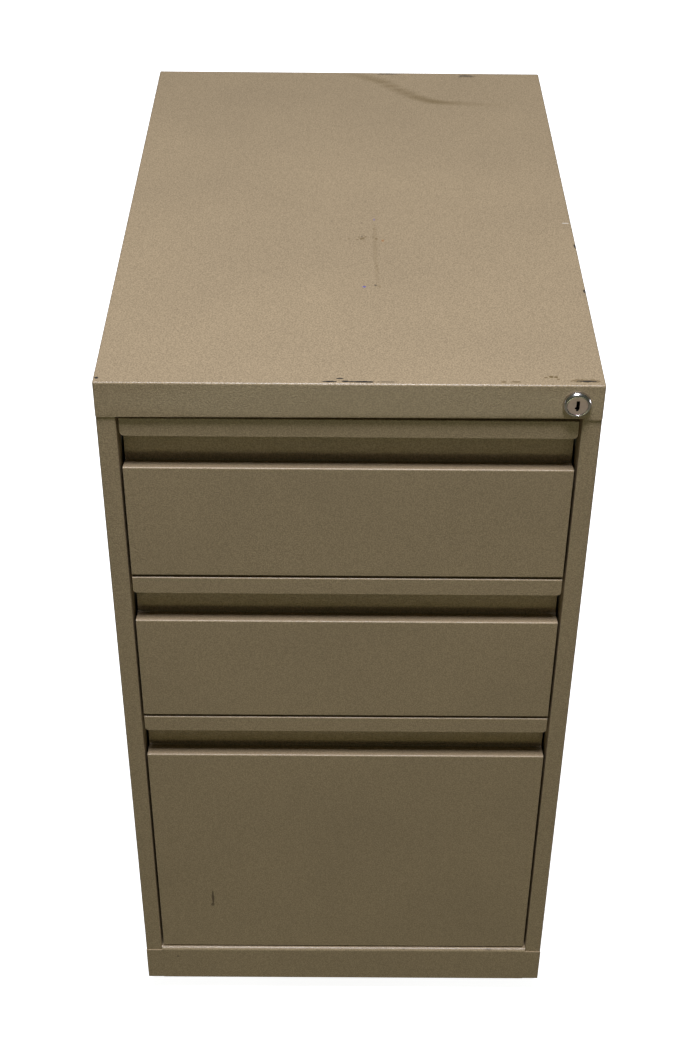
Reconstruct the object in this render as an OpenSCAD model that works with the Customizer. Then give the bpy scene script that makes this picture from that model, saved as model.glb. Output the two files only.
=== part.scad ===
// Rolling pedestal cabinet: two box drawers over a file drawer, in folded sheet steel on four
// twin-wheel casters, with one lock that holds all three drawers.
// X is the width, Y the depth (the front looks along -Y) and Z is up. Z = 0 is the floor.
// The modules are written with Y = 0 on the front of the apron; place() centres the cabinet.

/* [Case] */
// Outside width of the case
case_w = 381; // [370:1:420]
// Depth from the front of the apron to the back
case_d = 581; // [575:1:620]
// Height of the top above the floor
case_h = 711; // [708:1:730]
// Clear height under the case
floor_gap = 21.5; // [18:0.5:30]
// Thickness of the painted sheet steel
sheet_t = 1; // [0.8:0.1:1.2]
// Width of each front post
post_w = 15; // [14.5:0.5:17]
// Height of the apron at the front of the cap
apron_h = 30.6; // [30:0.1:36]
// Height of the flat front of the base rail
rail_h = 40.8; // [38:0.1:42]

/* [Drawer fronts] */
// Height of each box drawer front
box_front_h = 151.7; // [148:0.1:152]
// Height of the file drawer front
file_front_h = 303; // [298:0.5:303]
// Gap between two drawer fronts
front_gap = 2.3; // [1.5:0.1:2.5]
// Gap between the apron and the top drawer front
apron_gap = 3.1; // [2:0.1:3.5]
// Gap on each side of a drawer front
side_gap = 2; // [1.5:0.1:3]
// How far the fronts sit behind the apron
front_inset = 3; // [2:0.5:4]

/* [Finger pull] */
// Height of the flange that the fingers hook behind
flange_h = 16; // [12:0.5:20]
// Drop from the top of the front to the edge of the ledge
pull_drop = 45.5; // [42:0.5:50]
// Depth of the pull behind the face
pull_depth = 17.5; // [15:0.5:17.5]
// Fall of the ledge towards the back of the pull
ledge_fall = 5; // [2:0.5:6]

/* [Drawer boxes] */
// Length of the drawer boxes
box_l = 522; // [515:1:530]
// Height of the sides of the box drawers
box_side_h = 105; // [100:1:115]
// Height of the sides of the file drawer
file_side_h = 248; // [240:1:252]
// Thickness of the drawer box steel
box_t = 0.8; // [0.6:0.1:1]

/* [Runners] */
// Length of the runners
runner_l = 500; // [500:1:510]
// Travel of the box drawers
box_travel = 375; // [350:5:375]
// Travel of the file drawer
file_travel = 500; // [450:5:500]

/* [Lock] */
// Distance from the right side of the case to the lock axis
lock_inset = 20.5; // [20:0.5:22]
// Height of the lock axis above the lower edge of the apron
lock_up = 14.6; // [14:0.1:16]
// How far the lock stands out of the apron
lock_nose = 4; // [3:0.5:5]

/* [Casters] */
// Diameter of the caster wheels
wheel_d = 50; // [48:1:50]
// Width of one caster wheel
wheel_w = 13; // [12:0.5:14]
// Offset of the wheel axle behind the swivel axis
trail = 16; // [14:0.5:18]
// Distance of the swivel axes from the front and the back
caster_y = 66; // [66:1:90]
// Distance of the swivel axes from the middle
caster_x = 135; // [110:1:138]

/* [Hidden] */
$fn = 48;

// Colours
paint = [0.62, 0.55, 0.46];
zinc = [0.72, 0.73, 0.74];
steel = [0.55, 0.56, 0.58];
chrome = [0.85, 0.86, 0.88];
iron = [0.25, 0.25, 0.26];
nylon = [0.9, 0.89, 0.84];
black = [0.08, 0.08, 0.09];

// Small distances
touch = 0.1;
running = 0.05;
through = 1;

// Case levels and planes
half_w = case_w / 2;
post_inner = half_w - post_w;
apron_z = case_h - apron_h;
post_y = sheet_t;
post_return = 20;
rear_return = 20;
cap_lap = 26;
cap_return = 12;
back_y = case_d - sheet_t;

// Base: the casters set the height of the pan
caster_h = 54;
channel_h = 6.5;
channel_w = 40;
pan_z = caster_h + channel_h;
pan_flange = 12;
pan_y = post_y + post_return + touch;
file_z = case_h - apron_h - apron_gap - 2 * box_front_h - 2 * front_gap - file_front_h;
ledge_z = file_z - 1;
ledge_back = pan_y + sheet_t;
rail_return = 12;
weight_size = [230, 120, 20];
weight_y = 330;

// Drawer levels
front_w = 2 * (post_inner - side_gap);
middle_z = file_z + file_front_h + front_gap;
top_z = middle_z + box_front_h + front_gap;
face_y = front_inset;
pull_back = face_y + pull_depth;
liner_y = pull_back + sheet_t;
front_return = 12;
liner_w = front_w - 3;
box_y = liner_y + box_t;
box_lift = 12;

// Runners fill the space between a drawer side and an upright
runner_gap = 12.7;
runner_t = 1.2;
runner_half = 22.5;
runner_y = 24;
side_x = post_inner - runner_gap;
box_runner_up = 30;
file_runner_up = 112;
top_runner_z = top_z + box_lift + box_runner_up;
middle_runner_z = middle_z + box_lift + box_runner_up;
file_runner_z = file_z + box_lift + file_runner_up;
race = runner_half - runner_t;
ball_play = 0.3;
cage_t = 0.8;
hole_play = 0.15;
box_ball_r = 1.9;
file_ball_r = 1.4;
box_inner_half = race - 2 * (box_ball_r + ball_play);
middle_half = race - 2 * (file_ball_r + ball_play);
middle_race = middle_half - runner_t;
file_inner_half = middle_race - 2 * (file_ball_r + ball_play);
box_cage_l = 120;
file_cage_l = 200;
box_balls = 8;
file_balls = 8;
screw_r = 2.2;
screw_l = 6;

// Uprights
upright_w = 40;
front_upright_y = 30;
rear_upright_y = 480;
upright_top = apron_z - 12;

// Lock: the cam pin swings from 45 degrees below level to 45 degrees above it and lifts the bar
lock_x = half_w - lock_inset;
lock_z = apron_z + lock_up;
barrel_r = 9.5;
barrel_l = 22;
bezel_r = 10.8;
plug_r = 6;
plug_head_r = 7.8;
plug_tail_r = 3;
nut_flats = 22;
nut_t = 5;
cam_t = 2;
cam_r = 11.5;
cam_pin_r = 2;
cam_y = barrel_l + 0.2;
pin_end_y = 28.5;
bar_y = 26;
bar_t = 1.5;
bar_x = post_inner + 2;
bar_w = 9;
bar_foot_z = 100;
bar_lift = 2 * cam_r * sin(45);
bar_head_h = 11;
lug_in = post_inner - 9.5;
lug_h = 11;
lug_drop = 14;
catch_t = 1.5;
catch_h = 10;
catch_y = 29;
catch_x = post_inner - 2.5;
catch_foot = 12;
box_catch_up = 74.4;
file_catch_up = 212;
catch_zs = [top_z + box_lift + box_catch_up, middle_z + box_lift + box_catch_up, file_z + box_lift + file_catch_up];
guide_h = 12;
guide_zs = [112, 640];

// Hanging rails stand inside the file drawer's sides
rail_x = 154;
rail_t = 2;
rail_deep = 12;

// Casters
wheel_r = wheel_d / 2;
web_w = 14;
wheel_gap = 0.8;
axle_r = 3;
stem_r = 4;
stem_foot_z = 30;
hub_half = 8;
hub_top = caster_h - 1;
collar_r = 9;
hood_gap = 1.3;
hood_t = 2;
stem_nut_flats = 13;
stem_nut_h = 4.5;

// ---------------------------------------------------------------- helpers

module place() {
    translate([0, -(case_d - lock_nose) / 2, 0]) children();
}

// Both hands of a piece drawn on the right
module both_sides() {
    children();
    mirror([1, 0, 0]) children();
}

// Extrudes a (y, z) outline along X, centred
module along_x(l) {
    rotate([90, 0, 90]) linear_extrude(height = l, center = true) children();
}

// Extrudes an (x, z) outline along Y, from y
module along_y(y, l) {
    translate([0, y + l, 0]) rotate([90, 0, 0]) linear_extrude(height = l) children();
}

// Section of a folded sheet: the path is one face, and the thickness lies to its right
function unit(v) = v / norm(v);
function right_of(v) = [v[1], -v[0]];
function fold_point(path, i, t) =
    let (
        first = max(i, 1),
        second = min(i, len(path) - 2),
        n1 = right_of(unit(path[first] - path[first - 1])),
        n2 = right_of(unit(path[second + 1] - path[second]))
    )
    path[i] + t * (n1 + n2) / (1 + n1 * n2);
module folded(path, t) {
    polygon(concat(path, [for (i = [len(path) - 1 : -1 : 0]) fold_point(path, i, t)]));
}

// A cylinder whose axis runs along Y, from y
module bar_along_y(r, y, l) {
    translate([0, y, 0]) rotate([-90, 0, 0]) cylinder(r = r, h = l);
}

// A cylinder whose axis runs along X, from x
module bar_along_x(r, x, l) {
    translate([x, 0, 0]) rotate([0, 90, 0]) cylinder(r = r, h = l);
}

// A channel section that is open towards +X (open = 1) or towards -X (open = -1)
module channel(web_x, tip_x, z, half, t, open) {
    path = [[tip_x, z - open * half], [web_x, z - open * half], [web_x, z + open * half], [tip_x, z + open * half]];
    folded(path, t);
}

// ---------------------------------------------------------------- case

// Inverted tray: the plate, its skirts, the apron and the return under the apron
module top_cap() {
    color(paint) place() difference() {
        union() {
            difference() {
                translate([-half_w, 0, apron_z]) cube([case_w, case_d, apron_h]);
                translate([-half_w + sheet_t, sheet_t, apron_z - through])
                    cube([case_w - 2 * sheet_t, case_d - 2 * sheet_t, apron_h - sheet_t + through]);
            }
            translate([-post_inner + touch, 0, apron_z])
                cube([2 * (post_inner - touch), cap_return, sheet_t]);
        }
        translate([lock_x, 0, lock_z]) bar_along_y(barrel_r + touch, -through, sheet_t + 2 * through);
    }
}

// Right side panel: rear return, side, front post and inner return, with a strip set in under the cap
module side_panel() {
    path = [
        [half_w - rear_return, case_d],
        [half_w, case_d],
        [half_w, post_y],
        [post_inner, post_y],
        [post_inner, post_y + post_return]
    ];
    translate([0, 0, floor_gap]) linear_extrude(height = apron_z - touch - floor_gap) folded(path, sheet_t);
    translate([half_w - 2 * sheet_t, post_y, apron_z - 10])
        cube([sheet_t, back_y - sheet_t - touch - post_y, 10 + cap_lap]);
}

module left_side_panel() {
    color(paint) place() mirror([1, 0, 0]) side_panel();
}

module right_side_panel() {
    color(paint) place() side_panel();
}

// Back panel, held inside the rear returns and the cap
module back_panel() {
    w = 2 * (half_w - sheet_t - touch);
    color(paint) place()
        translate([-w / 2, back_y - sheet_t, floor_gap]) cube([w, sheet_t, apron_z + cap_lap - floor_gap]);
}

// Base pan with a flange down each side
module base_pan() {
    x = half_w - sheet_t - touch;
    color(paint) place() along_y(pan_y, back_y - sheet_t - touch - pan_y)
        folded([[-x, pan_z - pan_flange], [-x, pan_z + sheet_t], [x, pan_z + sheet_t], [x, pan_z - pan_flange]], sheet_t);
}

// Base rail: a flat front that laps the posts, with a ledge and a bottom return between them
module base_rail() {
    path = [
        [rail_return, floor_gap],
        [0, floor_gap],
        [0, ledge_z],
        [ledge_back, ledge_z],
        [ledge_back, pan_z + sheet_t]
    ];
    color(paint) place() union() {
        translate([-half_w, 0, floor_gap]) cube([case_w, sheet_t, rail_h]);
        along_x(2 * (post_inner - touch)) folded(path, sheet_t);
    }
}

// Right-hand runner upright, standing on the base pan at y
module upright(y) {
    x = half_w - sheet_t - touch;
    z = pan_z + sheet_t;
    difference() {
        translate([0, 0, z]) linear_extrude(height = upright_top - z)
            folded([[x, y], [post_inner, y], [post_inner, y + upright_w], [x, y + upright_w]], sheet_t);
        for (runner_z = [top_runner_z, middle_runner_z, file_runner_z])
            translate([0, y + upright_w / 2, runner_z])
                bar_along_x(screw_r + running, post_inner - through, sheet_t + 2 * through);
    }
}

module front_uprights() {
    color(steel) place() both_sides() upright(front_upright_y);
}

module rear_uprights() {
    color(steel) place() both_sides() upright(rear_upright_y);
}

// Steel plate welded under the pan
module counterweight() {
    color(iron) place() translate([-weight_size[0] / 2, weight_y, pan_z - weight_size[2]]) cube(weight_size);
}

// Channel that carries two casters under the pan, centred on their swivel axes
module caster_channel(y) {
    l = 2 * (half_w - 2 * sheet_t - 2 * touch);
    a = y - channel_w / 2;
    b = y + channel_w / 2;
    difference() {
        along_x(l) folded([[b, pan_z], [b, caster_h], [a, caster_h], [a, pan_z]], 1.5);
        for (side = [-1, 1])
            translate([side * caster_x, y, caster_h - through]) cylinder(r = stem_r + touch, h = channel_h);
    }
}

module front_caster_channel() {
    color(steel) place() caster_channel(caster_y);
}

module rear_caster_channel() {
    color(steel) place() caster_channel(case_d - caster_y);
}

module at_casters() {
    for (side = [-1, 1])
        for (y = [caster_y, case_d - caster_y])
            translate([side * caster_x, y, 0]) children();
}

// Stems that the housings turn on, with a collar under the channel
module caster_stems() {
    color(zinc) place() at_casters() union() {
        translate([0, 0, stem_foot_z]) cylinder(r = stem_r, h = pan_z - touch - stem_foot_z);
        translate([0, 0, hub_top + 0.3]) cylinder(r = collar_r, h = caster_h - hub_top - 0.3);
    }
}

module hex_nut(flats, bore_r, h) {
    difference() {
        cylinder(r = flats / 2 / cos(30), h = h, $fn = 6);
        translate([0, 0, -through]) cylinder(r = bore_r, h = h + 2 * through);
    }
}

module caster_nuts() {
    color(zinc) place() at_casters()
        translate([0, 0, caster_h + 1.5]) hex_nut(stem_nut_flats, stem_r, stem_nut_h - touch);
}

// ---------------------------------------------------------------- runners

// Cabinet member: the outer channel, screwed to the uprights
module cabinet_runner(z) {
    difference() {
        along_y(runner_y, runner_l) channel(post_inner, side_x + 2.6, z, runner_half, runner_t, -1);
        for (y = [front_upright_y, rear_upright_y])
            translate([0, y + upright_w / 2, z])
                bar_along_x(screw_r + running, post_inner - runner_t - through, runner_t + 2 * through);
    }
}

// Drawer member: the inner channel, welded to the drawer side
module drawer_runner(z, half, reach) {
    along_y(runner_y, runner_l) channel(side_x, side_x + reach, z, half, runner_t, 1);
}

// Ball cage: a channel with a row of balls through each flange
module ball_cage(z, web_x, tip_x, row, ball_x, ball_r, l, count) {
    y = runner_y + (runner_l - l) / 2;
    pitch = l / count;
    difference() {
        along_y(y, l) channel(web_x, tip_x, z, row + cage_t / 2, cage_t, -1);
        for (i = [0 : count - 1])
            for (up = [-1, 1])
                translate([ball_x, y + pitch * (i + 0.5), z + up * row - ball_r])
                    cylinder(r = ball_r + hole_play, h = 2 * ball_r);
    }
    for (i = [0 : count - 1])
        for (up = [-1, 1])
            translate([ball_x, y + pitch * (i + 0.5), z + up * row]) sphere(r = ball_r);
}

module box_cage(z) {
    row = (race + box_inner_half) / 2;
    ball_cage(z, side_x + 11, side_x + 4.5, row, side_x + 7, box_ball_r, box_cage_l, box_balls);
}

module top_cabinet_runners() {
    color(zinc) place() both_sides() cabinet_runner(top_runner_z);
}

module middle_cabinet_runners() {
    color(zinc) place() both_sides() cabinet_runner(middle_runner_z);
}

module file_cabinet_runners() {
    color(zinc) place() both_sides() cabinet_runner(file_runner_z);
}

// Flat-headed screws, flush with the inside of the cabinet members
module runner_screws() {
    color(steel) place() both_sides()
        for (z = [top_runner_z, middle_runner_z, file_runner_z])
            for (y = [front_upright_y, rear_upright_y])
                translate([0, y + upright_w / 2, z]) bar_along_x(screw_r, post_inner - runner_t, screw_l);
}

module top_drawer_runners() {
    color(zinc) place() both_sides() drawer_runner(top_runner_z, box_inner_half, 9.2);
}

module middle_drawer_runners() {
    color(zinc) place() both_sides() drawer_runner(middle_runner_z, box_inner_half, 9.2);
}

module file_drawer_runners() {
    color(zinc) place() both_sides() drawer_runner(file_runner_z, file_inner_half, 6.4);
}

module top_runner_cages() {
    color(steel) place() both_sides() box_cage(top_runner_z);
}

module middle_runner_cages() {
    color(steel) place() both_sides() box_cage(middle_runner_z);
}

// Middle member of the full-extension runners
module file_middle_runners() {
    color(zinc) place() both_sides()
        along_y(runner_y, runner_l) channel(side_x + 9.8, side_x + 2, file_runner_z, middle_half, runner_t, -1);
}

module file_outer_cages() {
    row = (race + middle_half) / 2;
    color(steel) place() both_sides()
        ball_cage(file_runner_z, side_x + 11.05, side_x + 4.5, row, side_x + 7, file_ball_r, file_cage_l, file_balls);
}

module file_inner_cages() {
    row = (middle_race + file_inner_half) / 2;
    color(steel) place() both_sides()
        ball_cage(file_runner_z, side_x + 7.9, side_x + 2.5, row, side_x + 4.4, file_ball_r, file_cage_l, file_balls);
}

// ---------------------------------------------------------------- lock

// Everything on the lock axis: +Z in here is out of the apron
module on_lock_axis() {
    translate([lock_x, 0, lock_z]) rotate([90, 0, 0]) children();
}

// Barrel with its domed bezel
module lock_barrel() {
    seat = 1;
    color(chrome) place() on_lock_axis() rotate_extrude($fn = 96) polygon([
        [plug_r + running, -barrel_l],
        [barrel_r, -barrel_l],
        [barrel_r, 0],
        [bezel_r, 0],
        [bezel_r, 0.3 * lock_nose],
        [bezel_r - 0.5, 0.65 * lock_nose],
        [bezel_r - 1.4, 0.92 * lock_nose],
        [bezel_r - 2.2, lock_nose],
        [plug_head_r + running, 0.92 * lock_nose],
        [plug_head_r + running, seat],
        [plug_r + running, seat]
    ]);
}

module lock_nut() {
    color(zinc) place() on_lock_axis()
        translate([0, 0, -sheet_t - nut_t]) hex_nut(nut_flats, barrel_r, nut_t);
}

// Plug with the key slot in its face
module lock_plug() {
    color(chrome) place() on_lock_axis() difference() {
        union() {
            translate([0, 0, 1 + running]) cylinder(r = plug_head_r, h = 0.85 * lock_nose - 1, $fn = 96);
            translate([0, 0, -barrel_l]) cylinder(r = plug_r, h = barrel_l + 2, $fn = 96);
            translate([0, 0, -cam_y - cam_t]) cylinder(r = plug_tail_r, h = cam_t + 1);
        }
        translate([-1, -3.75, lock_nose - 10]) cube([2, 7.5, 10]);
        translate([-2.2, -3.75, lock_nose - 10]) cube([2, 2, 10]);
    }
}

// Cam staked to the tail of the plug, with the pin that lifts the bar
module lock_cam() {
    color(zinc) place() translate([lock_x, 0, lock_z]) difference() {
        union() {
            bar_along_y(plug_tail_r + 3, cam_y, cam_t);
            rotate([0, 45, 0]) {
                translate([0, cam_y, -3.5]) cube([cam_r, cam_t, 7]);
                translate([cam_r, 0, 0]) bar_along_y(3.5, cam_y, cam_t);
                translate([cam_r, 0, 0]) bar_along_y(cam_pin_r, cam_y, pin_end_y - cam_y);
            }
        }
        bar_along_y(plug_tail_r, cam_y - through, cam_t + 2 * through);
    }
}

// Bar that runs down behind the right post: a slotted head for the cam pin and a lug for each drawer
module lock_bar() {
    pin_z = lock_z - cam_r * sin(45);
    slot_in = lock_x + cam_r * cos(45) - cam_pin_r - 0.5;
    slot_out = lock_x + cam_r + cam_pin_r + 0.5;
    slot_half = cam_pin_r + 0.5;
    head_z = pin_z - bar_head_h / 2;
    color(zinc) place() difference() {
        union() {
            translate([bar_x, bar_y, bar_foot_z]) cube([bar_w, bar_t, head_z - bar_foot_z + 1]);
            translate([slot_in - 2, bar_y, head_z]) cube([bar_x + bar_w - slot_in + 2, bar_t, bar_head_h]);
            for (z = catch_zs)
                translate([lug_in, bar_y, z - lug_drop]) cube([bar_x - lug_in + 1, bar_t, lug_h]);
        }
        translate([slot_in, bar_y - through, pin_z - slot_half])
            cube([slot_out - slot_in, bar_t + 2 * through, 2 * slot_half]);
    }
}

// Nylon blocks on the front upright that hold the bar
module lock_bar_guides() {
    play = 0.3;
    y = bar_y - play - 1;
    color(nylon) place() for (z = guide_zs) difference() {
        translate([post_inner + 0.5, y, z]) cube([post_w - sheet_t - 0.7, front_upright_y - y, guide_h]);
        translate([bar_x - play, bar_y - play, z - through])
            cube([bar_w + 2 * play, bar_t + 2 * play, guide_h + 2 * through]);
    }
}

// ---------------------------------------------------------------- drawers

// Pressed front: flange, top, back of the pull, ledge, face and bottom return
module drawer_front(z, h) {
    edge_z = z + h - pull_drop;
    path = [
        [face_y, z + h - flange_h],
        [face_y, z + h],
        [liner_y, z + h],
        [liner_y, edge_z - ledge_fall - sheet_t],
        [face_y + sheet_t, edge_z - sheet_t],
        [face_y + sheet_t, z + sheet_t],
        [face_y + front_return, z + sheet_t]
    ];
    along_x(front_w) folded(path, sheet_t);
}

// Liner: closes the back of the front, with a flange forward at each end below the pull
module drawer_liner(z, h) {
    flange_top = z + h - pull_drop - ledge_fall - 4;
    x = liner_w / 2;
    translate([-x, liner_y, z + 2]) cube([liner_w, box_t, h - 4]);
    for (side = [0, 1])
        mirror([side, 0, 0])
            translate([x - box_t, face_y + sheet_t + touch, z + 2])
                cube([box_t, liner_y - face_y - sheet_t - touch, flange_top - z - 2]);
}

// Drawer box: bottom, two sides and back
module drawer_box(z, side_h) {
    translate([0, 0, z + box_lift]) difference() {
        translate([-side_x, box_y, 0]) cube([2 * side_x, box_l, side_h]);
        translate([-side_x + box_t, box_y - through, box_t])
            cube([2 * (side_x - box_t), box_l - box_t + through, side_h]);
    }
}

// Angle on the right side of a drawer that the lock bar's lug stands in front of
module drawer_catch(z) {
    translate([side_x, catch_y, z]) cube([catch_x - side_x, catch_t, catch_h]);
    translate([side_x, catch_y, z]) cube([catch_t, catch_foot, catch_h]);
}

module top_drawer_front() {
    color(paint) place() drawer_front(top_z, box_front_h);
}

module top_drawer_liner() {
    color(paint) place() drawer_liner(top_z, box_front_h);
}

module top_drawer_box() {
    color(paint) place() drawer_box(top_z, box_side_h);
}

module top_drawer_catch() {
    color(zinc) place() drawer_catch(catch_zs[0]);
}

module middle_drawer_front() {
    color(paint) place() drawer_front(middle_z, box_front_h);
}

module middle_drawer_liner() {
    color(paint) place() drawer_liner(middle_z, box_front_h);
}

module middle_drawer_box() {
    color(paint) place() drawer_box(middle_z, box_side_h);
}

module middle_drawer_catch() {
    color(zinc) place() drawer_catch(catch_zs[1]);
}

module file_drawer_front() {
    color(paint) place() drawer_front(file_z, file_front_h);
}

module file_drawer_liner() {
    color(paint) place() drawer_liner(file_z, file_front_h);
}

module file_drawer_box() {
    color(paint) place() drawer_box(file_z, file_side_h);
}

module file_drawer_catch() {
    color(zinc) place() drawer_catch(catch_zs[2]);
}

// Two bars for hanging folders, from the liner to the back of the file drawer
module hanging_rails() {
    z = file_z + box_lift + file_side_h - rail_deep;
    color(zinc) place() both_sides() translate([rail_x, box_y, z]) cube([rail_t, box_l - box_t, rail_deep]);
}

// ---------------------------------------------------------------- casters

// Housing: a web between the wheels, with a hub on the stem and a hood over the wheels
module housing() {
    hood_r = wheel_r + hood_gap + hood_t;
    w = web_w + 2 * (wheel_gap + wheel_w);
    difference() {
        union() {
            along_x(web_w) union() {
                intersection() {
                    translate([trail, wheel_r]) circle(r = hood_r, $fn = 96);
                    translate([-hood_r, wheel_r - 5]) square([3 * hood_r, hood_r + 5]);
                }
                translate([-hub_half, stem_foot_z - 8]) square([2 * hub_half, hub_top - stem_foot_z + 8]);
            }
            along_x(w) intersection() {
                translate([trail, wheel_r]) difference() {
                    circle(r = hood_r, $fn = 96);
                    circle(r = hood_r - hood_t, $fn = 96);
                }
                translate([-hood_r, wheel_r + 6]) square([3 * hood_r, hood_r]);
            }
        }
        translate([0, 0, stem_foot_z - 0.5]) cylinder(r = stem_r + running, h = caster_h);
        translate([0, trail, wheel_r]) bar_along_x(axle_r, -web_w, 2 * web_w);
    }
}

module axle() {
    l = web_w + 2 * (wheel_gap + wheel_w) - 2;
    translate([0, trail, wheel_r]) bar_along_x(axle_r, -l / 2, l);
}

// One wheel, on the right (side = 1) or the left (side = -1) of the web
module wheel(side) {
    crown = 1.5;
    translate([side * (web_w / 2 + wheel_gap), trail, wheel_r]) rotate([0, side * 90, 0])
        rotate_extrude($fn = 96) polygon([
            [axle_r + running, 0],
            [wheel_r - crown, 0],
            [wheel_r, crown],
            [wheel_r, wheel_w - 2 * crown],
            [wheel_r - 2 * crown, wheel_w],
            [axle_r + running, wheel_w]
        ]);
}

module at_caster(x, y) {
    place() translate([x, y, 0]) children();
}

module front_left_housing() {
    color(black) at_caster(-caster_x, caster_y) housing();
}

module front_left_axle() {
    color(steel) at_caster(-caster_x, caster_y) axle();
}

module front_left_outer_wheel() {
    color(black) at_caster(-caster_x, caster_y) wheel(-1);
}

module front_left_inner_wheel() {
    color(black) at_caster(-caster_x, caster_y) wheel(1);
}

module front_right_housing() {
    color(black) at_caster(caster_x, caster_y) housing();
}

module front_right_axle() {
    color(steel) at_caster(caster_x, caster_y) axle();
}

module front_right_inner_wheel() {
    color(black) at_caster(caster_x, caster_y) wheel(-1);
}

module front_right_outer_wheel() {
    color(black) at_caster(caster_x, caster_y) wheel(1);
}

module rear_left_housing() {
    color(black) at_caster(-caster_x, case_d - caster_y) housing();
}

module rear_left_axle() {
    color(steel) at_caster(-caster_x, case_d - caster_y) axle();
}

module rear_left_outer_wheel() {
    color(black) at_caster(-caster_x, case_d - caster_y) wheel(-1);
}

module rear_left_inner_wheel() {
    color(black) at_caster(-caster_x, case_d - caster_y) wheel(1);
}

module rear_right_housing() {
    color(black) at_caster(caster_x, case_d - caster_y) housing();
}

module rear_right_axle() {
    color(steel) at_caster(caster_x, case_d - caster_y) axle();
}

module rear_right_inner_wheel() {
    color(black) at_caster(caster_x, case_d - caster_y) wheel(-1);
}

module rear_right_outer_wheel() {
    color(black) at_caster(caster_x, case_d - caster_y) wheel(1);
}

// ---------------------------------------------------------------- assembly

top_cap();
left_side_panel();
right_side_panel();
back_panel();
base_pan();
base_rail();
front_uprights();
rear_uprights();
counterweight();
front_caster_channel();
rear_caster_channel();
caster_stems();
caster_nuts();
top_cabinet_runners();
middle_cabinet_runners();
file_cabinet_runners();
runner_screws();
lock_barrel();
lock_nut();
lock_bar_guides();
lock_plug();
lock_cam();
lock_bar();
top_drawer_front();
top_drawer_liner();
top_drawer_box();
top_drawer_runners();
top_drawer_catch();
middle_drawer_front();
middle_drawer_liner();
middle_drawer_box();
middle_drawer_runners();
middle_drawer_catch();
file_drawer_front();
file_drawer_liner();
file_drawer_box();
file_drawer_runners();
file_drawer_catch();
hanging_rails();
top_runner_cages();
middle_runner_cages();
file_middle_runners();
file_outer_cages();
file_inner_cages();
front_left_housing();
front_left_axle();
front_left_outer_wheel();
front_left_inner_wheel();
front_right_housing();
front_right_axle();
front_right_inner_wheel();
front_right_outer_wheel();
rear_left_housing();
rear_left_axle();
rear_left_outer_wheel();
rear_left_inner_wheel();
rear_right_housing();
rear_right_axle();
rear_right_inner_wheel();
rear_right_outer_wheel();
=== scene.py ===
"""Rolling pedestal cabinet: folded and powder-coated sheet steel, two box drawers over a file drawer,
ball-bearing runners, one key lock and four twin-wheel casters. Lengths are in metres."""

import math

import bmesh
import bpy
from mathutils import Matrix, Vector


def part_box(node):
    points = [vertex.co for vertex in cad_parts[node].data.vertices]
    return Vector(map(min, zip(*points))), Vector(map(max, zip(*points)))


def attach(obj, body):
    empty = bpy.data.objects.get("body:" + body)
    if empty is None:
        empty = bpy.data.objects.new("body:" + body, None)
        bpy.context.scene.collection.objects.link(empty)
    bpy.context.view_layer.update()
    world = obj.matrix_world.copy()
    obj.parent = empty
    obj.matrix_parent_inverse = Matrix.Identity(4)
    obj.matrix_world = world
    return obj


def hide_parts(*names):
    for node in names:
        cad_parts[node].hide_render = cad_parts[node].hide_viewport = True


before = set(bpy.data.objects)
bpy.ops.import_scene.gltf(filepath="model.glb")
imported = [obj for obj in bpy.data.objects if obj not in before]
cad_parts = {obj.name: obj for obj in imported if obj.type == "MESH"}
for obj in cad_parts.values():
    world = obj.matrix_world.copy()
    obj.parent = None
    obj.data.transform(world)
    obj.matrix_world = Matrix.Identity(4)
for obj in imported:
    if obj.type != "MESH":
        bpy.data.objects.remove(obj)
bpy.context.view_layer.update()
MM = 0.001


# ---------------------------------------------------------------------------------------------------
# Powder coat. Every panel is sprayed with one tan polyester powder that bakes to a fine pebbled satin.
# The grain is about a millimetre across; handling leaves faint rubbed and greasy patches on it.

TAN = (0.426, 0.319, 0.193, 1.0)
TAN_FLECK = (0.276, 0.206, 0.122, 1.0)
GRIME = (0.085, 0.066, 0.048, 1.0)
GRAINS_PER_METRE = 980.0
GRAIN_HEIGHT = 0.28 * MM
BARE_EDGE = (0.020, 0.019, 0.020, 1.0)


def node(tree, kind, inputs=None, **settings):
    """Adds a shader node, with its settings, and its inputs as values or as sockets to link."""
    made = tree.nodes.new(kind)
    for name, value in settings.items():
        setattr(made, name, value)
    for socket, value in (inputs or {}).items():
        if isinstance(value, bpy.types.NodeSocket):
            tree.links.new(value, made.inputs[socket])
        else:
            made.inputs[socket].default_value = value
    return made


def mixed(tree, kind, factor, a, b, blend="MIX"):
    """Mixes two floats (kind FLOAT) or two colours (kind RGBA) and returns the result's socket."""
    made = tree.nodes.new("ShaderNodeMix")
    made.data_type = kind
    made.blend_type = blend
    wanted = {"FLOAT": "VALUE", "RGBA": "RGBA"}[kind]
    sockets = [s for s in made.inputs if s.type == wanted and s.name in ("A", "B")]
    for socket, value in zip([made.inputs[0], *sockets], (factor, a, b)):
        if isinstance(value, bpy.types.NodeSocket):
            tree.links.new(value, socket)
        else:
            socket.default_value = value
    return next(s for s in made.outputs if s.type == wanted)


def new_group(name, inputs, outputs):
    """Starts a shader group with named sockets; gives the tree, its input node and its output node."""
    tree = bpy.data.node_groups.new(name, "ShaderNodeTree")
    for label, kind, default in inputs:
        socket = tree.interface.new_socket(label, in_out="INPUT", socket_type=kind)
        if default is not None:
            socket.default_value = default
    for label, kind in outputs:
        tree.interface.new_socket(label, in_out="OUTPUT", socket_type=kind)
    return tree, tree.nodes.new("NodeGroupInput"), tree.nodes.new("NodeGroupOutput")


def use_group(tree, group, inputs):
    """Places a shader group in a material, with its own values."""
    return node(tree, "ShaderNodeGroup", inputs, node_tree=group)


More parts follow.
